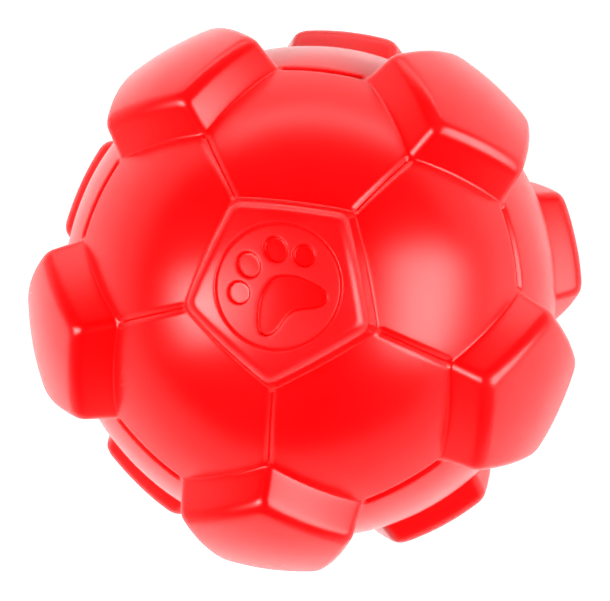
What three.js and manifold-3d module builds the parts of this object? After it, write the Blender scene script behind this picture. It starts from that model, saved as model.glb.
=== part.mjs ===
// Rubber dog football: a hollow ball moulded in red rubber with twelve pentagonal studs. It is
// made as two half shells that are bonded at the equator, and a squeaker sits in the stud
// opposite the paw print. Millimetres. The origin is the middle of the flat land that the ball
// stands on, +Z runs up through the paw stud, and +Y is the way the toes of the paw point.
import * as THREE from "three";
import { mergeVertices } from "three/addons/utils/BufferGeometryUtils.js";
import Module from "manifold-3d";

const wasm = await Module();
wasm.setup();

// The ball
const panelRadius = 35; // the smooth hexagonal panels lie on this sphere
const wallThickness = 4.5; // rubber under the panels
const fitGap = 0.3; // between pieces that fit into each other

// The studs, with angles in degrees from a stud's own axis to its corners
const studHeight = 5; // from the panels to the crown of a stud
const studBaseAngle = 22.1;
const studTopAngle = 18.3;
const studEdgeRound = 1;
const studCornerRound = 1.8;

// The creases between neighbouring panels
const creaseWidth = 1.9;
const creaseDepth = 0.7;
const creaseEndGap = 1.1; // from the end of a crease to the corner of a stud

// The disc and the paw print, sunk into the crown of the top stud
const discRadius = 7.7;
const discDepth = 0.25;
const pawMargin = 1.1; // from the rim of the disc to the far end of the paw's pad
const pawDepth = 1;

// The flat land under the ball, the air port in it and the pocket that grips the squeaker
const landDepth = 1; // how much of the bottom stud's crown is flat
const portMargin = 1.1; // from the vents of the squeaker to the rim of the port
const portLip = 2; // rubber between the land and the squeaker
const collarWall = 3.5; // rubber round the squeaker, inside the ball
const collarLip = 2; // rubber that holds the squeaker from within
const collarGrip = 2; // how far that lip reaches over the end of the squeaker

// The bonded joint at the equator: a tongue on the upper shell enters the lower one
const tongueLength = 2.5;

// The squeaker's cup and its vented cap
const cupRadius = 6.7;
const cupLength = 7;
const cupWall = 1.4;
const cupFloor = 1.2;
const capThickness = 1.2;
const capLedge = 0.7; // width of the shoulder that the cap rests on
const ventRadius = 0.7;
const ventCircleRadius = 2.7;
const ventCount = 5;

// The reed unit that stands in the floor of the cup
const seatSideWall = 0.8; // beside the reed
const seatTipLength = 0.7; // beyond the tip of the reed
const seatFlangeGrip = 0.9; // how far the flange reaches over the cup's floor
const seatFlangeThickness = 1;
const channelWidth = 1.4;
const channelDepth = 1.5;
const channelEndWall = 1;
const reedThickness = 0.3;
const reedWidth = 2.6;
const reedRootLength = 2.6;
const reedFreeLength = 7.9;
const reedPlay = 0.2; // above and below the root of the reed in its slot
const reedLift = 0.35; // further room under the free tongue
const clampBackWall = 0.7; // behind the root of the reed

// How finely round shapes are drawn
const roundSegments = 40;
const smallSegments = 24;
const panelDetail = 8;
const cavityDetail = 4;
const edgeSteps = 2;
const cornerSteps = 2;
const sideSteps = 3;
const creaseSteps = 4;
const weldDistance = 1e-4;

// Worked out from the sizes above
const studRadius = panelRadius + studHeight;
const cavityRadius = panelRadius - wallThickness;
const restHeight = studRadius - landDepth; // from the land to the middle of the ball
const pocketRadius = cupRadius + fitGap;
const portRadius = ventCircleRadius + ventRadius + portMargin;
const collarMouthRadius = pocketRadius - collarGrip;
const pawReach = discRadius - pawMargin; // from the middle of the disc to the far end of the pad
const tongueThickness = (wallThickness - fitGap) / 2;
const farOut = studRadius * 2; // a distance that is well clear of the ball

const studSides = 5;
const cornerStep = 360 / studSides;
const neighbourAngle = THREE.MathUtils.radToDeg(Math.acos(1 / Math.sqrt(5)));
const radians = THREE.MathUtils.degToRad;

// A closed geometry as a solid that can be cut and joined.
function toSolid(geometry, placement = new THREE.Matrix4()) {
  const shape = geometry.clone().applyMatrix4(placement);
  shape.deleteAttribute("normal");
  shape.deleteAttribute("uv");
  const welded = mergeVertices(shape, weldDistance);
  const index = welded.index.array;
  const corners = [];
  for (let i = 0; i < index.length; i += 3) {
    const [a, b, c] = [index[i], index[i + 1], index[i + 2]];
    if (a !== b && b !== c && c !== a) corners.push(a, b, c);
  }
  const vertProperties = welded.attributes.position.array;
  const triVerts = new Uint32Array(corners);
  return new wasm.Manifold(new wasm.Mesh({ numProp: 3, vertProperties, triVerts }));
}

function toGeometry(solid) {
  const mesh = solid.getMesh();
  const geometry = new THREE.BufferGeometry();
  geometry.setAttribute("position", new THREE.BufferAttribute(mesh.vertProperties, 3));
  geometry.setIndex(new THREE.BufferAttribute(mesh.triVerts, 1));
  const faceted = geometry.toNonIndexed();
  faceted.computeVertexNormals();
  return faceted;
}

function joined(solids) {
  return solids.reduce((whole, solid) => whole.add(solid));
}

// A profile of [radius, height] pairs, from the bottom of the axis to its top, turned about +Z.
function turned(profile, segments = roundSegments) {
  const points = profile.map(([radius, height]) => new THREE.Vector2(radius, height));
  return new THREE.LatheGeometry(points, segments).rotateX(Math.PI / 2);
}

function cylinder(radius, low, high, segments = roundSegments) {
  return turned([[0, low], [radius, low], [radius, high], [0, high]], segments);
}

// A box between two corners.
function block(low, high) {
  const size = high.map((value, axis) => value - low[axis]);
  const middle = high.map((value, axis) => (value + low[axis]) / 2);
  return new THREE.BoxGeometry(...size).translate(...middle);
}

// A point in a plane through a stud's axis: x is its distance from the axis, y is along it.
function polar(radius, degrees) {
  const angle = radians(degrees);
  return new THREE.Vector2(radius * Math.sin(angle), radius * Math.cos(angle));
}

// A unit vector so far down from +Z, turned so far from +X towards +Y.
function direction(polarDegrees, turnDegrees) {
  const { x: across, y: up } = polar(1, polarDegrees);
  const turn = radians(turnDegrees);
  return new THREE.Vector3(across * Math.cos(turn), across * Math.sin(turn), up);
}

// The twelve stud axes: the top one, two rings of five that are half a step apart, the bottom one.
const studAxes = [direction(0, 0)];
for (let k = 0; k < studSides; k++) {
  studAxes.push(direction(neighbourAngle, 90 + cornerStep * k));
}
for (let k = 0; k < studSides; k++) {
  studAxes.push(direction(180 - neighbourAngle, 90 + cornerStep * (k + 0.5)));
}
studAxes.push(direction(180, 0));

function areNeighbours(a, b) {
  const slack = 1;
  return Math.abs(THREE.MathUtils.radToDeg(a.angleTo(b)) - neighbourAngle) < slack;
}

// Turns a shape drawn about +Z to stand on an axis, with its +Y side facing another point.
function standOn(axis, facing) {
  const up = axis.clone().normalize();
  const side = facing.clone().addScaledVector(up, -facing.dot(up)).normalize();
  const across = side.clone().cross(up);
  return new THREE.Matrix4().makeBasis(across, side, up);
}

const studTop = polar(studRadius, studTopAngle);
const studBase = polar(panelRadius, studBaseAngle);

// The pentagon that a stud follows, with rounded corners one unit from its middle.
function studOutline() {
  const topSide = 2 * studTop.x * Math.sin(radians(cornerStep / 2));
  const cut = studCornerRound * Math.tan(radians(cornerStep / 2)) / topSide;
  const corner = (k) => new THREE.Vector2(0, 1)
    .rotateAround(new THREE.Vector2(), radians(cornerStep * k));
  const start = corner(0).lerp(corner(-1), cut);
  const shape = new THREE.Shape().moveTo(start.x, start.y);
  for (let k = 0; k < studSides; k++) {
    const leave = corner(k).lerp(corner(k + 1), cut);
    const arrive = corner(k + 1).lerp(corner(k), cut);
    shape.quadraticCurveTo(corner(k).x, corner(k).y, leave.x, leave.y);
    for (let step = 1; step <= sideSteps; step++) {
      const point = leave.clone().lerp(arrive, step / sideSteps);
      shape.lineTo(point.x, point.y);
    }
  }
  return shape.getPoints(cornerSteps).slice(0, -1);
}

// A stud about +Z, from below the panels to its domed crown. Its profile is drawn in the plane
// of a corner and follows the pentagon round, each ring at one distance from the ball's middle.
function studGeometry() {
  const wallSlope = studBase.clone().sub(studTop).normalize();
  const edgeAngle = studTop.angleTo(wallSlope);
  const tangent = studEdgeRound * Math.tan(edgeAngle / 2);
  const crownStart = polar(studRadius, studTopAngle - THREE.MathUtils.radToDeg(tangent / studRadius));
  const wallStart = studTop.clone().addScaledVector(wallSlope, tangent);
  const root = studBase.clone().addScaledVector(wallSlope, wallThickness / 3);
  const edge = new THREE.QuadraticBezierCurve(wallStart, studTop, crownStart).getPoints(edgeSteps);
  const halfCrown = polar(studRadius, studTopAngle / 2);
  const profile = [
    new THREE.Vector2(0, root.length()), root, studBase, ...edge, halfCrown,
    new THREE.Vector2(0, studRadius),
  ];
  const outline = studOutline();
  const geometry = new THREE.LatheGeometry(profile, outline.length);
  const position = geometry.attributes.position;
  for (let i = 0; i < position.count; i++) {
    const ring = profile[i % profile.length];
    const side = outline[Math.floor(i / profile.length) % outline.length];
    const spread = ring.x / ring.y;
    const point = new THREE.Vector3(side.x * spread, side.y * spread, 1).setLength(ring.length());
    position.setXYZ(i, point.x, point.y, point.z);
  }
  return geometry;
}

// One crease about +Z, running along Y: a V that is deepest in the middle and fades at its ends.
function creaseGeometry() {
  const toStudCorner = neighbourAngle / 2 - studBaseAngle;
  const halfSpan = toStudCorner - THREE.MathUtils.radToDeg(creaseEndGap / panelRadius);
  const end = polar(panelRadius, halfSpan);
  const bow = 2 * (panelRadius - creaseDepth) - end.y;
  const path = new THREE.QuadraticBezierCurve3(
    new THREE.Vector3(0, -end.x, end.y),
    new THREE.Vector3(0, 0, bow),
    new THREE.Vector3(0, end.x, end.y),
  );
  const clear = 2 * creaseDepth;
  const halfWidth = creaseWidth / 2 * clear / creaseDepth;
  const section = new THREE.Shape([
    new THREE.Vector2(0, 0), new THREE.Vector2(halfWidth, clear), new THREE.Vector2(-halfWidth, clear),
  ]);
  return new THREE.ExtrudeGeometry(section, { steps: creaseSteps, extrudePath: path });
}

// The full outside of the ball, about its middle.
function ballOutside() {
  const stud = studGeometry();
  const crease = creaseGeometry();
  const studs = studAxes.map((axis) => {
    const neighbour = studAxes.find((other) => areNeighbours(axis, other));
    return toSolid(stud, standOn(axis, neighbour));
  });
  const creases = studAxes.flatMap((axis, i) => studAxes.slice(i + 1)
    .filter((other) => areNeighbours(axis, other))
    .map((other) => toSolid(crease, standOn(axis.clone().add(other), other))));
  const panels = toSolid(new THREE.IcosahedronGeometry(panelRadius, panelDetail));
  const landCut = toSolid(cylinder(farOut, -farOut, -restHeight));
  return joined([panels, ...studs]).subtract(joined(creases)).subtract(landCut);
}

// The hollow inside of the ball, less the collar that stands up round the squeaker.
function ballInside() {
  const hollow = toSolid(new THREE.IcosahedronGeometry(cavityRadius, cavityDetail));
  const collarTop = -restHeight + portLip + cupLength + collarLip;
  return hollow.subtract(toSolid(cylinder(pocketRadius + collarWall, -farOut, collarTop)));
}

// The way in for air: the port in the land, the squeaker's pocket and the mouth of the collar.
function squeakerPocket() {
  const pocketLow = -restHeight + portLip;
  const pocketHigh = pocketLow + cupLength;
  const clearOfCollar = pocketHigh + 2 * collarLip;
  return toSolid(turned([
    [0, -farOut], [portRadius, -farOut], [portRadius, pocketLow],
    [pocketRadius, pocketLow], [pocketRadius, pocketHigh],
    [collarMouthRadius, pocketHigh], [collarMouthRadius, clearOfCollar], [0, clearOfCollar],
  ]));
}

// The disc follows the dome of the crown at one depth.
function discRecess() {
  const floorRadius = studRadius - discDepth;
  const rim = THREE.MathUtils.radToDeg(Math.asin(discRadius / floorRadius));
  const floor = [0, 0.5, 1].map((share) => polar(floorRadius, rim * share).toArray());
  return toSolid(turned([...floor, [discRadius, farOut], [0, farOut]]));
}

// A plain paw print with its toes towards +Y, in shares of its reach: four oval toes and a pad
// with a round top, two lobes and a hollow lower edge.
const toeCentres = [[-0.68, 0.27], [-0.28, 0.62], [0.28, 0.62], [0.68, 0.27]];
const toeRadii = [[0.205, 0.215], [0.215, 0.26], [0.215, 0.26], [0.205, 0.215]];
const padHalf = [[0, 0.2], [0.3, 0.08], [0.56, -0.24], [0.8, -0.6], [0.62, -0.8], [0.3, -0.68]];
const padDip = [0, -0.62];

function pawRecess() {
  const floorHeight = studRadius - discDepth - pawDepth;
  const raised = { depth: discRadius, bevelEnabled: false, curveSegments: smallSegments / 2 };
  const toes = toeCentres.map(([x, y], i) => {
    const [width, length] = toeRadii[i].map((share) => share * pawReach);
    return new THREE.Shape().absellipse(x * pawReach, y * pawReach, width, length, 0, 2 * Math.PI);
  });
  const mirrored = padHalf.slice(1).reverse().map(([x, y]) => [-x, y]);
  const padPoints = [...padHalf, padDip, ...mirrored, padHalf[0]]
    .map(([x, y]) => new THREE.Vector2(x * pawReach, y * pawReach));
  const pad = new THREE.Shape(new THREE.SplineCurve(padPoints).getPoints(2 * smallSegments));
  const solids = [...toes, pad].map((shape) => toSolid(
    new THREE.ExtrudeGeometry(shape, raised).translate(0, 0, floorHeight)));
  return joined(solids);
}

// Everything above the equator, with the tongue that reaches below it, grown by a gap.
function upperSide(gap) {
  const tongueRadius = cavityRadius + tongueThickness + gap;
  const tongueEnd = -tongueLength - gap;
  return toSolid(turned([
    [0, tongueEnd], [tongueRadius, tongueEnd], [tongueRadius, 0], [farOut, 0], [farOut, farOut],
    [0, farOut],
  ]));
}

const outside = ballOutside();
const hollowBall = outside.subtract(ballInside());
const upperShell = hollowBall.intersect(upperSide(0)).subtract(discRecess()).subtract(pawRecess());
const lowerShell = hollowBall.subtract(upperSide(fitGap)).subtract(squeakerPocket());

// The squeaker's pieces are drawn from the outer face of the cup, z = 0, inwards along +Z.
const floorLow = cupLength - cupFloor;
const seatRadius = reedWidth / 2 + fitGap + seatSideWall;
const holeRadius = seatRadius + fitGap;
const chamberRadius = cupRadius - cupWall;
const capSeatRadius = chamberRadius + capLedge;
const capRadius = capSeatRadius - fitGap;
const clampEnd = floorLow + clampBackWall + fitGap + reedRootLength;
const reedMiddle = reedPlay + reedThickness / 2; // height of the reed's plane above the seat's flat
const reedPivot = clampEnd - reedRootLength / 2;

function cupSolid() {
  const shell = toSolid(turned([
    [0, floorLow], [chamberRadius, floorLow], [chamberRadius, capThickness],
    [capSeatRadius, capThickness], [capSeatRadius, 0], [cupRadius, 0], [cupRadius, cupLength],
    [0, cupLength],
  ]));
  return shell.subtract(toSolid(cylinder(holeRadius, 0, 2 * cupLength, smallSegments)));
}

function capSolid() {
  const vents = Array.from({ length: ventCount }, (_, k) => {
    const centre = polar(ventCircleRadius, k * 360 / ventCount);
    const vent = cylinder(ventRadius, -capThickness, 2 * capThickness, smallSegments / 2);
    return toSolid(vent.translate(centre.x, centre.y, 0));
  });
  return toSolid(cylinder(capRadius, 0, capThickness)).subtract(joined(vents));
}

// The seat is a half-round bar behind a round flange. The air channel in its flat side runs from
// under the tongue, below the clamp and out through the flange into the cup.
function seatSolid() {
  const seatEnd = clampEnd + reedFreeLength + seatTipLength;
  const flangeLow = floorLow - seatFlangeThickness;
  const flangeRadius = holeRadius + seatFlangeGrip;
  const barLow = floorLow - seatFlangeThickness / 2; // its foot is buried in the flange
  const bar = toSolid(cylinder(seatRadius, barLow, seatEnd, smallSegments))
    .subtract(toSolid(block([-farOut, 0, 0], [farOut, farOut, farOut])))
    .subtract(toSolid(block([-farOut, -reedLift, clampEnd], [farOut, farOut, farOut])));
  const flange = toSolid(cylinder(flangeRadius, flangeLow, floorLow, smallSegments));
  const channel = block(
    [-channelWidth / 2, -channelDepth, -cupLength],
    [channelWidth / 2, reedPlay, seatEnd - channelEndWall],
  );
  return bar.add(flange).subtract(toSolid(channel));
}

// The clamp is the other half of the bar, with a slot for the root of the reed.
function clampSolid() {
  const slotHalfWidth = reedWidth / 2 + fitGap;
  const slotHeight = reedThickness + 2 * reedPlay;
  const slotStart = clampEnd - reedRootLength - fitGap;
  return toSolid(cylinder(seatRadius, floorLow, clampEnd, smallSegments))
    .intersect(toSolid(block([-farOut, 0, 0], [farOut, farOut, farOut])))
    .subtract(toSolid(block(
      [-slotHalfWidth, -slotHeight, slotStart], [slotHalfWidth, slotHeight, farOut])));
}

// The reed is drawn about the middle of its root, where it bends.
function reedSolid() {
  return toSolid(block(
    [-reedWidth / 2, -reedThickness / 2, -reedRootLength / 2],
    [reedWidth / 2, reedThickness / 2, reedRootLength / 2 + reedFreeLength],
  ));
}

const rubber = () => new THREE.MeshStandardMaterial({ color: 0xf0060c, roughness: 0.32, metalness: 0 });
const cupPlastic = () => new THREE.MeshStandardMaterial({ color: 0xf2efe6, roughness: 0.5, metalness: 0 });
const reedPlastic = () => new THREE.MeshStandardMaterial({ color: 0xd9dfe2, roughness: 0.25, metalness: 0 });

function piece(name, solid, material) {
  const mesh = new THREE.Mesh(toGeometry(solid), material);
  mesh.name = name;
  return mesh;
}

const ball = new THREE.Group();
ball.position.z = restHeight;
ball.add(
  piece("upper_shell", upperShell, rubber()),
  piece("lower_shell", lowerShell, rubber()),
);

const reed = piece("squeaker_reed", reedSolid(), reedPlastic());
reed.position.set(0, reedMiddle, reedPivot);

const squeaker = new THREE.Group();
squeaker.position.z = portLip;
squeaker.add(
  piece("squeaker_cup", cupSolid(), cupPlastic()),
  piece("squeaker_cap", capSolid(), cupPlastic()),
  piece("reed_seat", seatSolid(), cupPlastic()),
  piece("reed_clamp", clampSolid(), cupPlastic()),
  reed,
);

const group = new THREE.Group();
group.add(ball, squeaker);

export default group;
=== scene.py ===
import math

import bmesh
import bpy
from mathutils import Matrix, Vector, noise


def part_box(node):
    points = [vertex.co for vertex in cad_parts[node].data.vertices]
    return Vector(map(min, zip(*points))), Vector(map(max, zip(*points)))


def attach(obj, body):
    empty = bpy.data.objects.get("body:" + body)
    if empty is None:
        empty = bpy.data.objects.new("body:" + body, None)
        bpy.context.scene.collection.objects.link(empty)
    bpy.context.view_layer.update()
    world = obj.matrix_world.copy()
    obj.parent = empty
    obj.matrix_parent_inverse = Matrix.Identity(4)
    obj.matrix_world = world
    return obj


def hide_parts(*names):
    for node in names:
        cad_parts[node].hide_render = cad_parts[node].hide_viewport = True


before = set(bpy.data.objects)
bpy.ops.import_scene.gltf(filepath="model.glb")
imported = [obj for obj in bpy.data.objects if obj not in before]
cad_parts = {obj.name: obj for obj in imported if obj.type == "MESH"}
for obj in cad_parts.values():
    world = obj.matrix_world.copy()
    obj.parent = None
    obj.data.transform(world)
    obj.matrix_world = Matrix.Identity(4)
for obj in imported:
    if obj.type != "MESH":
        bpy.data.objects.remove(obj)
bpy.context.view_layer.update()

# The camera looks down on the paw print from high above, a little off the ball's own axis, as
# the photograph does. It stands 0.3 m away, near enough to make the far studs look smaller.
mm = 0.001
picture_width = 610
stud_radius = 40 * mm
ball_centre = Vector((0, 0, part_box("lower_shell")[1].z))

focal_pixels = 2077.9
lens_axis_pixel = Vector((309.6, 292.05))
picture_middle = Vector((305, 300.5))
camera_turn = math.radians(50.91)
camera_tilt = math.radians(5.81)
camera_roll = math.radians(-80.01)
camera_distance = 297.5 * mm

camera = bpy.data.objects.new("camera", bpy.data.cameras.new("camera"))
bpy.context.scene.collection.objects.link(camera)
bpy.context.scene.camera = camera
camera_aim = (Matrix.Rotation(camera_turn, 4, "Z") @ Matrix.Rotation(camera_tilt, 4, "X")
              @ Matrix.Rotation(camera_roll, 4, "Z"))
camera_place = ball_centre + camera_aim.to_3x3() @ Vector((0, 0, camera_distance))
camera.matrix_world = Matrix.Translation(camera_place) @ camera_aim
camera.data.sensor_width = 36
camera.data.lens = focal_pixels / picture_width * camera.data.sensor_width
camera.data.shift_x = (picture_middle.x - lens_axis_pixel.x) / picture_width
camera.data.shift_y = (lens_axis_pixel.y - picture_middle.y) / picture_width
camera.data.clip_start = 10 * mm
bpy.context.scene.view_settings.view_transform = "Standard"

# Studio: two soft boxes, one at each side of the camera, over a plain white table. They fade
# towards their edges, and their reflections are the soft pink patches on the sides of the ball.
# A low white card beyond the top of the picture keeps that edge of the ball red.
lamp_distance = 0.7
lamp_middle = 0.5  # a lamp's Parametric runs from 0 at one edge to 1 at the other
soft_boxes = [  # name, lean from the camera's axis, turn about it, width, height, radiance, fades
    ("right_box", 52.5, -5, 0.62, 0.64, 11.5, (1.4, 2.2)),
    ("left_box", 42.5, 187, 0.58, 0.46, 22, (2, 0.9)),
    ("upper_card", 84.5, 90, 0.17, 1, 2.9, (3, 3)),
]


def add_node(nodes, kind, **settings):
    """A node of a kind; a setting that isn't one of its properties fills the socket so named."""
    node = nodes.new(kind)
    for key, value in settings.items():
        if hasattr(node, key):
            setattr(node, key, value)
        else:
            node.inputs[key.replace("_", " ").title()].default_value = value
    return node


def maths(nodes, links, operation, *values, use_clamp=False):
    """The output of a Math node; each value is a number or the output of a node."""
    node = add_node(nodes, "ShaderNodeMath", operation=operation, use_clamp=use_clamp)
    for socket, value in zip(node.inputs, values):
        if isinstance(value, (int, float)):
            socket.default_value = value
        else:
            links.new(value, socket)
    return node.outputs[0]


def map_range(nodes, links, value, low, high, to_low=0, to_high=1):
    spread = add_node(nodes, "ShaderNodeMapRange", from_min=low, from_max=high, to_min=to_low,
                      to_max=to_high)
    links.new(value, spread.inputs["Value"])
    return spread.outputs[0]


def fade(nodes, links, place, axis, steepness):
    """A value that falls from the middle of a lamp to its edges along one axis."""
    split = add_node(nodes, "ShaderNodeSeparateXYZ")
    links.new(place.outputs["Parametric"], split.inputs[0])
    offset = maths(nodes, links, "SUBTRACT", split.outputs[axis], lamp_middle)
    distance = maths(nodes, links, "ABSOLUTE", offset)
    rise = map_range(nodes, links, distance, lamp_middle, 0, 0, steepness)
    return maths(nodes, links, "MINIMUM", rise, 1)


for name, lean, turn, width, height, radiance, fades in soft_boxes:
    lamp = bpy.data.objects.new(name, bpy.data.lights.new(name, "AREA"))
    bpy.context.scene.collection.objects.link(lamp)
    lamp.data.shape = "RECTANGLE"
    lamp.data.size, lamp.data.size_y = width, height
    lamp.data.energy = radiance * math.pi * width * height
    lamp.visible_camera = False
    lamp.matrix_world = (Matrix.Translation(ball_centre) @ camera_aim
                         @ Matrix.Rotation(math.radians(turn), 4, "Z")
                         @ Matrix.Rotation(math.radians(lean), 4, "Y")
                         @ Matrix.Translation((0, 0, lamp_distance)))
    lamp.data.use_nodes = True
    nodes, links = lamp.data.node_tree.nodes, lamp.data.node_tree.links
    lamp_place = add_node(nodes, "ShaderNodeNewGeometry")
    falls = [fade(nodes, links, lamp_place, axis, steepness)
             for axis, steepness in enumerate(fades)]
    links.new(maths(nodes, links, "MULTIPLY", *falls), nodes["Emission"].inputs["Strength"])

horizon_colour, sky_colour = (1, 1, 1, 1), (0.02, 0.02, 0.02, 1)
horizon_top, sky_bottom = 0.08, 0.26  # heights on a sphere of radius 1
world = bpy.data.worlds.new("studio")
bpy.context.scene.world = world
world.use_nodes = True
nodes, links = world.node_tree.nodes, world.node_tree.links
sky_place = add_node(nodes, "ShaderNodeTexCoord")
sky_split = add_node(nodes, "ShaderNodeSeparateXYZ")
sky_ramp = add_node(nodes, "ShaderNodeValToRGB")
links.new(sky_place.outputs["Generated"], sky_split.inputs[0])
links.new(sky_split.outputs["Z"], sky_ramp.inputs["Fac"])
links.new(sky_ramp.outputs["Color"], nodes["Background"].inputs["Color"])
low_stop, high_stop = sky_ramp.color_ramp.elements
low_stop.position, low_stop.color = horizon_top, horizon_colour
high_stop.position, high_stop.color = sky_bottom, sky_colour

table_width = 1
table_drop = 0.02 * mm
table_colour = (0.5, 0.5, 0.5, 1)
table_glow = 0.66  # added where the camera and reflections see the table, so that it reads white


def new_material(name, settings):
    """A material with its node tree and its Principled shader, whose inputs the settings fill."""
    material = bpy.data.materials.new(name)
    material.use_nodes = True
    nodes = material.node_tree.nodes
    shader = nodes["Principled BSDF"]
    for label, value in settings.items():
        shader.inputs[label].default_value = value
    return material, nodes, material.node_tree.links, shader


table_mesh = bpy.data.meshes.new("table")
table = bpy.data.objects.new("table", table_mesh)
bpy.context.scene.collection.objects.link(table)
table_grid = bmesh.new()
bmesh.ops.create_grid(table_grid, x_segments=1, y_segments=1, size=table_width / 2,
                      matrix=Matrix.Translation((0, 0, -table_drop)))
table_grid.to_mesh(table_mesh)
table_grid.free()
white, nodes, links, shader = new_material("white_table", {
    "Base Color": table_colour, "Roughness": 0.9, "Specular IOR Level": 0.2,
    "Emission Color": (1, 1, 1, 1),
})
rays = add_node(nodes, "ShaderNodeLightPath")
seen = maths(nodes, links, "ADD", rays.outputs["Is Camera Ray"], rays.outputs["Is Glossy Ray"])
seen = maths(nodes, links, "ADD", seen, rays.outputs["Is Transmission Ray"], use_clamp=True)
links.new(maths(nodes, links, "MULTIPLY", seen, table_glow), shader.inputs["Emission Strength"])
table_side = add_node(nodes, "ShaderNodeNewGeometry")
clear = add_node(nodes, "ShaderNodeBsdfTransparent")
one_sided = add_node(nodes, "ShaderNodeMixShader")  # from below, the table lets the ball show
links.new(table_side.outputs["Backfacing"], one_sided.inputs["Fac"])
links.new(shader.outputs[0], one_sided.inputs[1])
links.new(clear.outputs[0], one_sided.inputs[2])
links.new(one_sided.outputs[0], nodes["Material Output"].inputs["Surface"])
table_mesh.materials.append(white)

# Outside of both half shells: red rubber, compression moulded, so the twelve studs, the smooth
# panels and the rolled creases are one skin. A tenth of one stud, from the middle of its crown
# to half-way to its neighbours, is shaped first, then mirrored and turned to a football.
panel_radius = 35 * mm
wall = 4.5 * mm
foot_angle = math.radians(22.1)
crown_angle = math.radians(18.0)
foot_corner = 1.5 * mm
crown_corner = 1.7 * mm
inner_corner = crown_corner * 0.9  # the same corner where the crown's round edge begins
foot_fillet = 0.3 * mm
crown_edge = 1.5 * mm
crease_half = 0.8 * mm
crease_depth = 0.45 * mm
crease_bend = 1.35  # how sharply the rubber turns down in the middle of a crease
crease_gap = 0.5 * mm  # from the corner of a stud to the end of a crease
slit_depth = 0.06 * mm
slit_share = 2e-6  # of a crease's half width: takes only the points on its middle line
merge_gap = 0.002 * mm
round_pull = 0.77  # draws an edge that turns 80 degrees as an arc

side_count = 5
neighbour_angle = math.atan(2)
half_turn = math.radians(36)
foot_reach = panel_radius * math.tan(foot_angle)
crown_reach = stud_radius * math.tan(crown_angle)
inner_reach = crown_reach - crown_edge / math.cos(half_turn)
border = panel_radius * math.tan(neighbour_angle / 2)
half_side = foot_reach * math.cos(half_turn) * math.sin(half_turn)

# The columns run outwards, from a stud's corner to the middle of its side, close together on
# the crease that starts at the corner. The rows run from the middle of its crown outwards.
crease_columns = [0, 0.05, 0.13, 0.25, 0.4, 0.58, 0.78, 1.05]
side_columns = 13
even_share = 0.5  # the rest of a column's far end is drawn towards the crease
columns = [step * mm / half_side for step in crease_columns]
columns += [columns[-1] + (1 - columns[-1]) * k / side_columns for k in range(1, side_columns + 1)]
ring_columns = 2 * side_count * (len(columns) - 1)
crown_steps, crown_edge_steps, wall_steps, fillet_steps = 10, 9, 5, 4
near_step, near_rows = 0.028, 11  # shares of the way over a panel, close together near the stud
near_share, far_rows = 0.28, 8


def outline(share, reach, corner):
    """A point on a pentagon with rounded corners, one of them on +X."""
    across = share * reach * math.cos(half_turn) * math.sin(half_turn)
    if across < corner * math.sin(half_turn):
        middle = reach - corner / math.cos(half_turn)
        return Vector((middle + math.sqrt(corner ** 2 - across ** 2), across, 0))
    return Vector((reach - across * math.tan(half_turn), across, 0))


def on_sphere(flat, radius):
    """A point of the plane that touches a sphere at its top, sent to the sphere."""
    return Vector((flat.x, flat.y, radius)).normalized() * radius


def pentagon_row(reach, radius, corner):
    return [on_sphere(outline(share, reach, corner), radius) for share in columns]


def circle_row(reach, height):
    turns = [half_turn * k / (len(columns) - 1) for k in range(len(columns))]
    return [Vector((reach * math.cos(t), reach * math.sin(t), height)) for t in turns]


def between(first, last, share):
    return [a.lerp(b, share) for a, b in zip(first, last)]


def rounded(first, corner, last, steps):
    """The rows of a round edge from the first row to the last, both left out."""
    rows = []
    for share in (k / steps for k in range(1, steps)):
        pulls = (1 - share) ** 2, 2 * round_pull * share * (1 - share), share ** 2
        rows.append([(a * pulls[0] + b * pulls[1] + c * pulls[2]) / sum(pulls)
                     for a, b, c in zip(first, corner, last)])
    return rows


def sink_crease(point):
    """Rolls the rubber down towards the crease, which is a thin slit with round ends."""
    along = panel_radius * math.atan2(point.x, point.z)
    across = panel_radius * math.asin(point.y / panel_radius)
    start = panel_radius * foot_angle + crease_gap
    gap = math.hypot(across, max(0, start - along)) / crease_half
    if gap >= 1:
        return point
    depth = crease_depth * (1 - gap) ** crease_bend
    if gap < slit_share:
        depth += slit_depth
    return point * (1 - depth / panel_radius)


def panel_row(share):
    """A row on the panels, at a share of the way from the stud's fillet to its neighbours."""
    row = []
    for column in columns:
        start = outline(column, foot_reach, foot_corner)
        reach = border * math.tan(half_turn) * column * (even_share + (1 - even_share) * column)
        end = Vector((border, reach, 0))
        first = foot_fillet / (end - start).length
        flat = start.lerp(end, first + (1 - first) * share)
        row.append(sink_crease(on_sphere(flat, panel_radius)))
    return row


def crown_edge_row():
    return pentagon_row(inner_reach, stud_radius, inner_corner)


def stud_rows():
    """The rows of a stud from the edge of its crown down its wall and out over the panels."""
    foot = pentagon_row(foot_reach, panel_radius, foot_corner)
    top = pentagon_row(crown_reach, stud_radius, crown_corner)
    wall_length = (top[-1] - foot[-1]).length
    wall_low = foot_fillet / wall_length
    wall_high = 1 - crown_edge / wall_length
    wall_rows = [between(foot, top, wall_high + (wall_low - wall_high) * k / wall_steps)
                 for k in range(wall_steps + 1)]
    near_shares = [near_step * k for k in range(near_rows)]
    far_shares = [near_share + (1 - near_share) * k / far_rows for k in range(1, far_rows + 1)]
    rows = [crown_edge_row()]
    rows += rounded(rows[0], top, wall_rows[0], crown_edge_steps)
    rows += wall_rows
    rows += rounded(wall_rows[-1], foot, panel_row(0), fillet_steps)
    rows += [panel_row(share) for share in near_shares + far_shares]
    return rows


def plain_crown():
    """The rows of a bare crown, from its middle outwards."""
    shares = [k / crown_steps for k in range(crown_steps)]
    return [pentagon_row(inner_reach * s, stud_radius, inner_corner * s) for s in shares]


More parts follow.
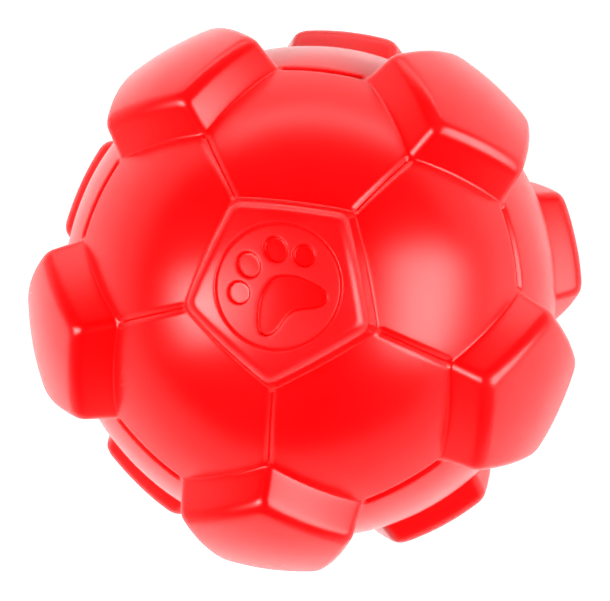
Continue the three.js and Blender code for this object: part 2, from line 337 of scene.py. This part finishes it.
def stud_cell(crown_rows, top=stud_radius):
    """A stud with its share of the panels, about +Z with a corner towards +X, cut flat at top."""
    rows = crown_rows + stud_rows()
    cell = bmesh.new()
    across, along = len(columns) - 1, len(rows) - 1
    bmesh.ops.create_grid(cell, x_segments=across, y_segments=along, size=0.5)
    points = [point for row in rows for point in row]
    for vertex, point in zip(cell.verts, points):
        vertex.co = (point.x, point.y, min(point.z, top))
    everything = cell.verts[:] + cell.edges[:] + cell.faces[:]
    bmesh.ops.mirror(cell, geom=everything, axis="Y", merge_dist=merge_gap)
    everything = cell.verts[:] + cell.edges[:] + cell.faces[:]
    copies = side_count - 1
    bmesh.ops.spin(cell, geom=everything, axis=(0, 0, 1), cent=(0, 0, 0), steps=copies,
                   angle=copies * 2 * half_turn, use_duplicate=True)
    bmesh.ops.remove_doubles(cell, verts=cell.verts, dist=merge_gap)
    mesh = bpy.data.meshes.new("stud_cell")
    cell.to_mesh(mesh)
    cell.free()
    return mesh


def stud_place(down, turn, twist):
    return (Matrix.Rotation(math.radians(turn), 4, "Z") @ Matrix.Rotation(down, 4, "Y")
            @ Matrix.Rotation(math.radians(twist), 4, "Z"))


# Skin of a moulded piece: slow blotches, the fine grain that the mould leaves, and thin
# scratches in patches, as values from 0 to 1.
grain_detail, blotch_detail, scratch_detail = 4, 3, 2
cloud_roughness = 0.55
scratch_turn = (0.5, 0.3, 0.9)
scratch_run = (0.04, 1, 0.4)  # how fast the scratches change along X, Y and Z
scratch_band = 0.7, 0.78
patch_band = 0.52, 0.66


def group_socket(group, label, side, value=None):
    socket = group.interface.new_socket(name=label, in_out=side, socket_type="NodeSocketFloat")
    if value is not None:
        socket.default_value = value


moulded_skin = bpy.data.node_groups.new("moulded_skin", "ShaderNodeTree")
group_socket(moulded_skin, "Grain Scale", "INPUT", 1500)
group_socket(moulded_skin, "Blotch Scale", "INPUT", 60)
group_socket(moulded_skin, "Scratch Scale", "INPUT", 200)
group_socket(moulded_skin, "Grain", "OUTPUT")
group_socket(moulded_skin, "Blotch", "OUTPUT")
group_socket(moulded_skin, "Scratch", "OUTPUT")
nodes, links = moulded_skin.nodes, moulded_skin.links
given = add_node(nodes, "NodeGroupInput")
made = add_node(nodes, "NodeGroupOutput")
skin_place = add_node(nodes, "ShaderNodeTexCoord")
for label, detail in (("Grain", grain_detail), ("Blotch", blotch_detail)):
    cloud = add_node(nodes, "ShaderNodeTexNoise", detail=detail, roughness=cloud_roughness)
    links.new(skin_place.outputs["Object"], cloud.inputs["Vector"])
    links.new(given.outputs[label + " Scale"], cloud.inputs["Scale"])
    links.new(cloud.outputs["Fac"], made.inputs[label])
stretch = add_node(nodes, "ShaderNodeMapping", rotation=scratch_turn, scale=scratch_run)
lines = add_node(nodes, "ShaderNodeTexNoise", detail=scratch_detail)
links.new(skin_place.outputs["Object"], stretch.inputs["Vector"])
links.new(stretch.outputs[0], lines.inputs["Vector"])
links.new(given.outputs["Scratch Scale"], lines.inputs["Scale"])
thin = map_range(nodes, links, lines.outputs["Fac"], *scratch_band)
patch = map_range(nodes, links, cloud.outputs["Fac"], *patch_band)
links.new(maths(nodes, links, "MULTIPLY", thin, patch), made.inputs["Scratch"])


def mix_colours(nodes, links, factor, first, second):
    """A mix of two colours; each may be a colour or the output of a node."""
    mix = add_node(nodes, "ShaderNodeMix", data_type="RGBA")
    links.new(factor, mix.inputs["Factor"])
    for socket, colour in (("A", first), ("B", second)):
        target = next(i for i in mix.inputs if i.name == socket and i.type == "RGBA")
        if isinstance(colour, tuple):
            target.default_value = (*colour, 1)
        else:
            links.new(colour, target)
    return next(o for o in mix.outputs if o.type == "RGBA")


def grain_bump(nodes, links, shader, height, distance, strength):
    bump = add_node(nodes, "ShaderNodeBump", distance=distance, strength=strength)
    links.new(height, bump.inputs["Height"])
    links.new(bump.outputs[0], shader.inputs["Normal"])


# The rubber is a clean saturated red with thin scratches in patches all over, painted darker
# down in the creases as painted shade. The crowns of the studs, which touch the ground, are painted
# a faint pale pink, partly scuffing and partly a painted sheen, and the disc round the paw print is
# a little duller than the rest.
bright_red, deep_red = (0.94, 0.0016, 0.003), (0.86, 0.001, 0.002)
# The first colour is painted shade for the creases. The second is a pale pink for the crowns,
# partly scuffing and partly a painted sheen.
crease_shade_red, scuff_and_sheen_pink = (0.8, 0.001, 0.0016), (0.95, 0.016, 0.02)
disc_radius = 7.7 * mm
crown_band = stud_radius - 1 * mm, stud_radius - 0.2 * mm
crease_shade_band = panel_radius - 0.65 * mm, panel_radius - 0.1 * mm
disc_rim_band = disc_radius, 8 * mm
disc_depth_band = stud_radius - 0.8 * mm, stud_radius - 0.4 * mm
upper_band = ball_centre.z, stud_radius * 1.5
scuff_and_sheen_band, scuff_and_sheen_most = (0.3, 0.8), 0.5
blotch_band, blotch_rough = (0.3, 0.7), (0.22, 0.27)
scratch_rough, disc_rough = 0.1, 0.13

rubber, nodes, links, shader = new_material("red_rubber", {
    "Specular IOR Level": 0.31, "Subsurface Weight": 0.5, "Subsurface Radius": (1, 0.08, 0.06),
    "Subsurface Scale": 3 * mm,
})
skin = add_node(nodes, "ShaderNodeGroup", node_tree=moulded_skin, grain_scale=1300,
                blotch_scale=70, scratch_scale=420)
rubber_place = add_node(nodes, "ShaderNodeTexCoord")
from_centre = add_node(nodes, "ShaderNodeVectorMath", operation="DISTANCE")
from_centre.inputs[1].default_value = ball_centre
links.new(rubber_place.outputs["Object"], from_centre.inputs[0])
centre_distance = from_centre.outputs["Value"]
flattened = add_node(nodes, "ShaderNodeVectorMath", operation="MULTIPLY")
flattened.inputs[1].default_value = (1, 1, 0)
from_axis = add_node(nodes, "ShaderNodeVectorMath", operation="LENGTH")
rubber_split = add_node(nodes, "ShaderNodeSeparateXYZ")
links.new(rubber_place.outputs["Object"], flattened.inputs[0])
links.new(flattened.outputs[0], from_axis.inputs[0])
links.new(rubber_place.outputs["Object"], rubber_split.inputs[0])

crown = map_range(nodes, links, centre_distance, *crown_band)
crease_shade = map_range(nodes, links, centre_distance, *crease_shade_band, 1, 0)
# Partly scuffing, partly a painted sheen: patches of the crowns are painted a paler pink.
scuff_and_sheen = map_range(nodes, links, skin.outputs["Blotch"], *scuff_and_sheen_band, 0, scuff_and_sheen_most)
colour = mix_colours(nodes, links, skin.outputs["Blotch"], deep_red, bright_red)
# Painted shade: the colour goes darker down in the creases.
colour = mix_colours(nodes, links, crease_shade, colour, crease_shade_red)
colour = mix_colours(nodes, links, maths(nodes, links, "MULTIPLY", crown, scuff_and_sheen), colour, scuff_and_sheen_pink)
links.new(colour, shader.inputs["Base Color"])

inside_rim = map_range(nodes, links, from_axis.outputs["Value"], *disc_rim_band, 1, 0)
upper_side = map_range(nodes, links, rubber_split.outputs["Z"], *upper_band)
near_crown = map_range(nodes, links, centre_distance, *disc_depth_band)
on_disc = maths(nodes, links, "MULTIPLY", inside_rim, upper_side)
on_disc = maths(nodes, links, "MULTIPLY", on_disc, near_crown)
rough = maths(nodes, links, "ADD",
              map_range(nodes, links, skin.outputs["Blotch"], *blotch_band, *blotch_rough),
              map_range(nodes, links, skin.outputs["Scratch"], 0, 1, 0, scratch_rough))
rough = maths(nodes, links, "ADD", rough, map_range(nodes, links, on_disc, 0, 1, 0, disc_rough))
links.new(rough, shader.inputs["Roughness"])
grain_bump(nodes, links, shader, skin.outputs["Grain"], distance=0.02 * mm, strength=0.25)

# Crown of the paw stud: a shallow round disc in the rubber, its step softly rounded and its rim
# marked by a fine groove.
disc_depth = 0.25 * mm
disc_step = 0.12 * mm
groove_width, groove_depth = 0.3 * mm, 0.24 * mm
disc_floor = stud_radius - disc_depth
disc_edge_steps, disc_dome_steps = 3, 7


def dome(reach, radius):
    return math.sqrt(radius ** 2 - reach ** 2)


def dome_rows(first, steps):
    """Rows over the dome from a first row to the edge of the crown, which is left out."""
    edge = crown_edge_row()
    return [[point.normalized() * stud_radius for point in between(first, edge, k / steps)]
            for k in range(steps)]


def disc_crown():
    """The rows of the paw stud's crown, from the rim of the disc's floor outwards."""
    groove_reach = disc_radius + groove_width / 2
    high_reach = disc_radius + groove_width
    step_low = circle_row(disc_radius - disc_step, dome(disc_radius - disc_step, disc_floor))
    low_corner = circle_row(disc_radius, dome(disc_radius, disc_floor))
    groove = circle_row(groove_reach, dome(groove_reach, disc_floor) - groove_depth)
    high_corner = circle_row(high_reach, dome(high_reach, stud_radius))
    step_high = circle_row(high_reach + disc_step, dome(high_reach + disc_step, stud_radius))
    low_middle, high_middle = between(low_corner, groove, 0.5), between(groove, high_corner, 0.5)
    rows = [step_low, *rounded(step_low, low_corner, low_middle, disc_edge_steps), low_middle]
    rows += rounded(low_middle, groove, high_middle, disc_edge_steps)
    rows += [high_middle, *rounded(high_middle, high_corner, step_high, disc_edge_steps)]
    return rows + dome_rows(step_high, disc_dome_steps)


# Crown of the bottom stud: a flat land in the rubber round the air port, which the ball stands
# on, moulded flat so that the port's rim isn't feathered.
land_height = ball_centre.z
land_reach = 8.4 * mm  # a little less than the land, which ends where the dome drops below it
port_radius = 4.5 * mm
port_edge = 0.3 * mm
port_edge_steps, land_steps, land_dome_steps = 4, 5, 9


def land_crown():
    """The rows of the bottom stud's crown, from the wall of its port outwards."""
    port_wall = circle_row(port_radius, land_height - port_edge)
    port_rim = circle_row(port_radius, land_height)
    land_start = circle_row(port_radius + port_edge, land_height)
    land_end = circle_row(land_reach, land_height)
    rows = [port_wall, *rounded(port_wall, port_rim, land_start, port_edge_steps)]
    rows += [between(land_start, land_end, k / land_steps) for k in range(land_steps)]
    return rows + dome_rows(land_end, land_dome_steps)


# The twelve studs in a football layout: the paw stud on top, five round it, five lower down and
# the bottom stud, all one moulding.
upper_turn, lower_turn, ring_turn = 90, 126, 72
plain_cell = stud_cell(plain_crown())
studs = [(stud_cell(disc_crown()), stud_place(0, upper_turn, 0))]
for k in range(side_count):
    studs.append((plain_cell, stud_place(neighbour_angle, upper_turn + ring_turn * k, 180)))
    studs.append((plain_cell, stud_place(math.pi - neighbour_angle, lower_turn + ring_turn * k, 0)))
studs.append((stud_cell(land_crown(), land_height), stud_place(math.pi, lower_turn, 180)))

outside = bmesh.new()
for mesh, stud_matrix in studs:
    done = len(outside.verts)
    outside.from_mesh(mesh)
    bmesh.ops.transform(outside, matrix=stud_matrix, verts=outside.verts[done:])
bmesh.ops.remove_doubles(outside, verts=outside.verts, dist=merge_gap)

# The paw print is sunk into the disc in the same moulding, with drafted walls and a floor that
# follows the dome. Its outlines are shares of paw_reach from the middle of the disc.
paw_reach = 6.6 * mm
toe_centres = [(-0.71, 0.265), (-0.295, 0.63), (0.295, 0.63), (0.71, 0.265)]
toe_radii = [(0.24, 0.25), (0.25, 0.29), (0.25, 0.29), (0.24, 0.25)]
pad_half = [(0.38, 0.05), (0.63, -0.25), (0.77, -0.54), (0.68, -0.72), (0.44, -0.74)]
pad_top, pad_dip = (0, 0.22), (0, -0.585)
toe_segments = 48
pad_steps = 9
paw_wall = [  # inset and drop of each ring of the wall in mm, from the rim down
    (0.05, 0.01), (0.035, 0.035), (0.02, 0.055), (0.2, 0.8), (0.02, 0.055), (0.035, 0.035),
    (0.05, 0.01),
]
facet_size = 0.42 * mm
facet_slack = 1.4  # an edge this many times too long is cut
refine_rounds, smooth_rounds = 6, 3
plate_mark, floor_mark = 1, 2


def smooth_loop(points, steps):
    """A closed curve through points, with so many steps from each to the next."""
    made = []
    for k, start in enumerate(points):
        before = points[k - 1]
        end = points[(k + 1) % len(points)]
        after = points[(k + 2) % len(points)]
        for s in (step / steps for step in range(steps)):
            made.append(0.5 * (2 * start + (end - before) * s
                               + (2 * before - 5 * start + 4 * end - after) * s ** 2
                               + (3 * start - before - 3 * end + after) * s ** 3))
    return made


def refine(shape, mark, size):
    """Cuts the marked faces into even triangles, with their outer edges as they are."""
    # A set's order differs from run to run, so dictionaries keep the edges and points in order.
    for _ in range(refine_rounds):
        edges = dict.fromkeys(e for f in shape.faces if f.material_index == mark for e in f.edges)
        inner = [e for e in edges if all(f.material_index == mark for f in e.link_faces)
                 and not e.is_boundary]
        long_edges = [e for e in inner if e.calc_length() > facet_slack * size]
        bmesh.ops.subdivide_edges(shape, edges=long_edges, cuts=1)
        faces = [f for f in shape.faces if f.material_index == mark]
        faces = bmesh.ops.triangulate(shape, faces=faces)["faces"]
        edges = dict.fromkeys(e for f in faces for e in f.edges)
        inner = [e for e in edges if all(f.material_index == mark for f in e.link_faces)]
        bmesh.ops.beautify_fill(shape, faces=faces, edges=inner)
        verts = dict.fromkeys(v for f in shape.faces if f.material_index == mark for v in f.verts)
        free = [v for v in verts if not v.is_boundary
                and all(f.material_index == mark for f in v.link_faces)]
        for _ in range(smooth_rounds):
            bmesh.ops.smooth_vert(shape, verts=free, factor=0.5, use_axis_x=True, use_axis_y=True)


rim_radius = disc_radius - disc_step
rim_height = dome(rim_radius, disc_floor)
prints = []
for (x, y), (wide, tall) in zip(toe_centres, toe_radii):
    turns = [math.tau * k / toe_segments for k in range(toe_segments)]
    prints.append([Vector((x + wide * math.cos(t), y + tall * math.sin(t))) for t in turns])
pad_points = [pad_top, *pad_half, pad_dip, *[(-x, y) for x, y in reversed(pad_half)]]
prints.append(smooth_loop([Vector(point) for point in pad_points], pad_steps))

plate = bmesh.new()
lift = Matrix.Translation((0, 0, rim_height))
bmesh.ops.create_circle(plate, segments=ring_columns, radius=rim_radius, matrix=lift)
for points in prints:
    ring = bmesh.ops.create_circle(plate, cap_ends=True, segments=len(points), radius=mm)["verts"]
    for vertex, point in zip(ring, points):
        vertex.co = (point.x * paw_reach, point.y * paw_reach, rim_height)
    floor = ring[0].link_faces[0]
    floor.normal_update()
    if floor.normal.z < 0:
        floor.normal_flip()
    for inset, drop in paw_wall:
        bmesh.ops.inset_region(plate, faces=[floor], thickness=inset * mm, depth=-drop * mm,
                               use_boundary=True, use_even_offset=True)
    floor.material_index = floor_mark
paw_faces = set(plate.faces)
rims = [e for e in plate.edges if not e.is_manifold]
bmesh.ops.triangle_fill(plate, use_beauty=True, edges=rims, normal=(0, 0, 1))
for face in plate.faces:
    if face not in paw_faces:
        face.material_index = plate_mark
refine(plate, plate_mark, facet_size)
refine(plate, floor_mark, facet_size)
for vertex in plate.verts:
    vertex.co.z += dome(vertex.co.xy.length, disc_floor) - rim_height
for face in plate.faces:
    face.material_index = 0
plate_mesh = bpy.data.meshes.new("paw_plate")
plate.to_mesh(plate_mesh)
plate.free()
outside.from_mesh(plate_mesh)
bmesh.ops.remove_doubles(outside, verts=outside.verts, dist=merge_gap)

# A moulded ball is never quite round: a slow wobble, none on the land, and a fine line where
# the two half shells meet.
wobble = 0.1 * mm
wobble_scale = 90
wobble_rise = 2 * mm  # the height over which the wobble sets in above the land
still_share = 0.2
line_depth = 0.12 * mm
line_half = 0.35 * mm
for level in (-line_half, -line_half / 2, 0, line_half / 2, line_half):
    bmesh.ops.bisect_plane(outside, geom=outside.verts[:] + outside.edges[:] + outside.faces[:],
                           dist=merge_gap, plane_co=(0, 0, level), plane_no=(0, 0, 1))
for vertex in outside.verts:
    spot = vertex.co.copy()
    above_land = min(1, max(0, (spot.z + land_height) / wobble_rise - still_share))
    vertex.co += spot.normalized() * wobble * above_land * noise.noise(spot * wobble_scale)
    line_share = max(0, 1 - abs(spot.z) / line_half)
    vertex.co -= Vector((spot.x, spot.y, 0)).normalized() * line_depth * line_share ** 2

# Upper half shell: the half with the paw print, of the red rubber. Its rim carries a tongue that
# was cemented into the lower half.
cavity_radius = panel_radius - wall
tongue_radius = cavity_radius + 2.1 * mm
tongue_end = -2.5 * mm
arc_steps = 32
sharp_angle = math.radians(50)


def keep_side(source, side):
    """The half of a shape that lies above (1) or below (-1) the equator."""
    half = source.copy()
    bmesh.ops.bisect_plane(half, geom=half.verts[:] + half.edges[:] + half.faces[:], dist=merge_gap,
                           plane_co=(0, 0, 0), plane_no=(0, 0, side), clear_inner=True)
    return half


def turn_profile(shape, profile):
    """Adds a line of (radius, height) points turned about the Z axis."""
    columns = []
    for turn in (math.tau * k / ring_columns for k in range(ring_columns)):
        columns.append([shape.verts.new((radius * math.cos(turn), radius * math.sin(turn), height))
                        for radius, height in profile])
    for column, following in zip(columns, columns[1:] + columns[:1]):
        for corners in zip(column, column[1:], following[1:], following):
            shape.faces.new(corners)


def close_rim(shape):
    """Fills the flat ring between the outer and the inner skin of a half shell."""
    bmesh.ops.remove_doubles(shape, verts=shape.verts, dist=merge_gap)
    rim = [e for e in shape.edges
           if e.is_boundary and all(abs(v.co.z) < merge_gap for v in e.verts)]
    bmesh.ops.triangle_fill(shape, use_beauty=True, edges=rim, normal=(0, 0, 1))


def finish_piece(shape, name, place, material):
    """Makes a closed shape an object, moved to its place, with soft shading and a material."""
    bmesh.ops.recalc_face_normals(shape, faces=shape.faces)
    bmesh.ops.translate(shape, verts=shape.verts, vec=place)
    mesh = bpy.data.meshes.new(name)
    shape.to_mesh(mesh)
    shape.free()
    mesh.shade_smooth()
    mesh.set_sharp_from_angle(angle=sharp_angle)
    mesh.materials.append(material)
    piece = bpy.data.objects.new(name, mesh)
    bpy.context.scene.collection.objects.link(piece)
    return piece


def cavity_arc(low, high):
    """Points on the cavity's sphere between two heights."""
    first, last = math.asin(low / cavity_radius), math.asin(high / cavity_radius)
    turns = [first + (last - first) * k / arc_steps for k in range(arc_steps + 1)]
    return [(cavity_radius * math.cos(t), cavity_radius * math.sin(t)) for t in turns]


upper = keep_side(outside, 1)
turn_profile(upper, [(tongue_radius, 0), (tongue_radius, tongue_end)]
             + cavity_arc(tongue_end, cavity_radius))
close_rim(upper)
upper_half = finish_piece(upper, "upper_half", ball_centre, rubber)
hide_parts("upper_shell")
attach(upper_half, "ball")

# Lower half shell: the half that the ball stands on, of the same rubber. A collar inside its
# bottom stud grips the squeaker, and a port in the land lets the air through.
rebate_gap = 0.3 * mm
rebate_radius = tongue_radius + rebate_gap
rebate_end = tongue_end - rebate_gap
pocket_radius = 7.0 * mm
pocket_low, pocket_high = -37 * mm, -30 * mm
mouth_radius, collar_radius, collar_top = 5.0 * mm, 10.5 * mm, -28 * mm
collar_foot = -dome(collar_radius, cavity_radius)

lower = keep_side(outside, -1)
turn_profile(lower, [
    (port_radius, -land_height + port_edge), (port_radius, pocket_low), (pocket_radius, pocket_low),
    (pocket_radius, pocket_high), (mouth_radius, pocket_high), (mouth_radius, collar_top),
    (collar_radius, collar_top), *cavity_arc(collar_foot, rebate_end),
    (rebate_radius, rebate_end), (rebate_radius, 0),
])
close_rim(lower)
lower_half = finish_piece(lower, "lower_half", ball_centre, rubber)
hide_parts("lower_shell")
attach(lower_half, "ball")

# Squeaker cup: a small cup of off-white polyethylene that the rubber collar grips, injection
# moulded, with a step in its mouth for the cap and a hole in its floor for the reed's seat.
squeaker_foot = Vector((0, 0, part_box("squeaker_cup")[0].z))
cup_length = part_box("squeaker_cup")[1].z - squeaker_foot.z
cup_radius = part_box("squeaker_cup")[1].x
cup_chamber, cup_floor = 5.3 * mm, 5.8 * mm
cap_seat, cap_seat_depth = 6.0 * mm, 1.2 * mm
cup_hole = 2.7 * mm
cup_edge = 0.25 * mm
plastic_dull, plastic_pale = (0.80, 0.75, 0.62), (0.88, 0.86, 0.78)
plastic_wear_band, plastic_rough = (0.2, 1.4), (0.36, 0.6)

plastic, nodes, links, shader = new_material("squeaker_plastic", {
    "Subsurface Weight": 0.12, "Subsurface Radius": (1, 0.9, 0.7), "Subsurface Scale": 1 * mm,
})
skin = add_node(nodes, "ShaderNodeGroup", node_tree=moulded_skin, grain_scale=4200,
                blotch_scale=260, scratch_scale=900)
colour = mix_colours(nodes, links, skin.outputs["Blotch"], plastic_dull, plastic_pale)
links.new(colour, shader.inputs["Base Color"])
wear = maths(nodes, links, "ADD", skin.outputs["Blotch"], skin.outputs["Scratch"])
links.new(map_range(nodes, links, wear, *plastic_wear_band, *plastic_rough),
          shader.inputs["Roughness"])
grain_bump(nodes, links, shader, skin.outputs["Grain"], distance=0.015 * mm, strength=0.3)


def soften(shape, size):
    """Rounds every sharp edge of a shape."""
    sharp = [e for e in shape.edges if e.calc_face_angle(0) > sharp_angle]
    bmesh.ops.bevel(shape, geom=sharp, offset=size, offset_type="OFFSET", affect="EDGES",
                    segments=3, profile=0.5, material=-1, clamp_overlap=True)


cup = bmesh.new()
cup_section = [
    (cap_seat, 0), (cup_radius, 0), (cup_radius, cup_length), (cup_hole, cup_length),
    (cup_hole, cup_floor), (cup_chamber, cup_floor), (cup_chamber, cap_seat_depth),
    (cap_seat, cap_seat_depth), (cap_seat, 0),
]
turn_profile(cup, cup_section)
bmesh.ops.remove_doubles(cup, verts=cup.verts, dist=merge_gap)
bmesh.ops.recalc_face_normals(cup, faces=cup.faces)
soften(cup, cup_edge)
cup_piece = finish_piece(cup, "squeaker_cup_body", squeaker_foot, plastic)
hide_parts("squeaker_cup")
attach(cup_piece, "ball")

# Squeaker cap: the vented disc of the same plastic that snaps into the mouth of the cup. It
# shows through the port, with a small dimple in its middle where the mould was filled.
cap_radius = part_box("squeaker_cap")[1].x
cap_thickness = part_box("squeaker_cap")[1].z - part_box("squeaker_cap")[0].z
vent_radius, vent_circle, vent_count = 0.7 * mm, 2.7 * mm, 5
gate_radius, gate_depth = 0.55 * mm, 0.2 * mm
cap_edge = 0.15 * mm
cap_segments, hole_segments = 96, 32

cap = bmesh.new()
bmesh.ops.create_circle(cap, segments=cap_segments, radius=cap_radius)
for k in range(vent_count):
    turn = math.tau * k / vent_count
    vent = Matrix.Translation((vent_circle * math.sin(turn), vent_circle * math.cos(turn), 0))
    bmesh.ops.create_circle(cap, segments=hole_segments, radius=vent_radius, matrix=vent)
bmesh.ops.create_circle(cap, cap_ends=True, segments=hole_segments, radius=gate_radius)
loose = [e for e in cap.edges if not e.is_manifold]
bmesh.ops.triangle_fill(cap, use_beauty=True, edges=loose, normal=(0, 0, -1))
bmesh.ops.recalc_face_normals(cap, faces=cap.faces)
risen = bmesh.ops.extrude_face_region(cap, geom=cap.faces[:], use_keep_orig=True)["geom"]
risen = [v for v in risen if isinstance(v, bmesh.types.BMVert)]
bmesh.ops.translate(cap, verts=risen, vec=(0, 0, cap_thickness))
bmesh.ops.recalc_face_normals(cap, faces=cap.faces)
soften(cap, cap_edge)
gates = [f for f in cap.faces if len(f.verts) == hole_segments]
low_gate = min(gates, key=lambda f: f.calc_center_median().z)
bmesh.ops.inset_region(cap, faces=[low_gate], thickness=gate_depth, depth=-gate_depth,
                       use_even_offset=True)
cap_piece = finish_piece(cap, "squeaker_cap_disc", squeaker_foot, plastic)
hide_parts("squeaker_cap")
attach(cap_piece, "ball")


# Reed seat and clamp: a half-round bar with an air channel, and the other half that closes on
# it. Both are moulded of the cup's plastic and pushed into the hole in its floor.
def dress(name, material):
    """Gives a carried-over solid its material."""
    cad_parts[name].data.materials.clear()
    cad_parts[name].data.materials.append(material)


dress("reed_seat", plastic)
dress("reed_clamp", plastic)

# Reed: the thin tongue that sounds, a strip of clear film cut to length and held at its root
# between the bar and the clamp.
film_dull, film_clear = (0.70, 0.76, 0.80), (0.84, 0.88, 0.90)
film_rough = 0.12, 0.4

film, nodes, links, shader = new_material("reed_film", {})
skin = add_node(nodes, "ShaderNodeGroup", node_tree=moulded_skin, grain_scale=2500,
                blotch_scale=320, scratch_scale=1500)
colour = mix_colours(nodes, links, skin.outputs["Blotch"], film_dull, film_clear)
links.new(colour, shader.inputs["Base Color"])
links.new(map_range(nodes, links, skin.outputs["Scratch"], 0, 1, *film_rough),
          shader.inputs["Roughness"])
grain_bump(nodes, links, shader, skin.outputs["Grain"], distance=0.004 * mm, strength=0.2)
dress("squeaker_reed", film)
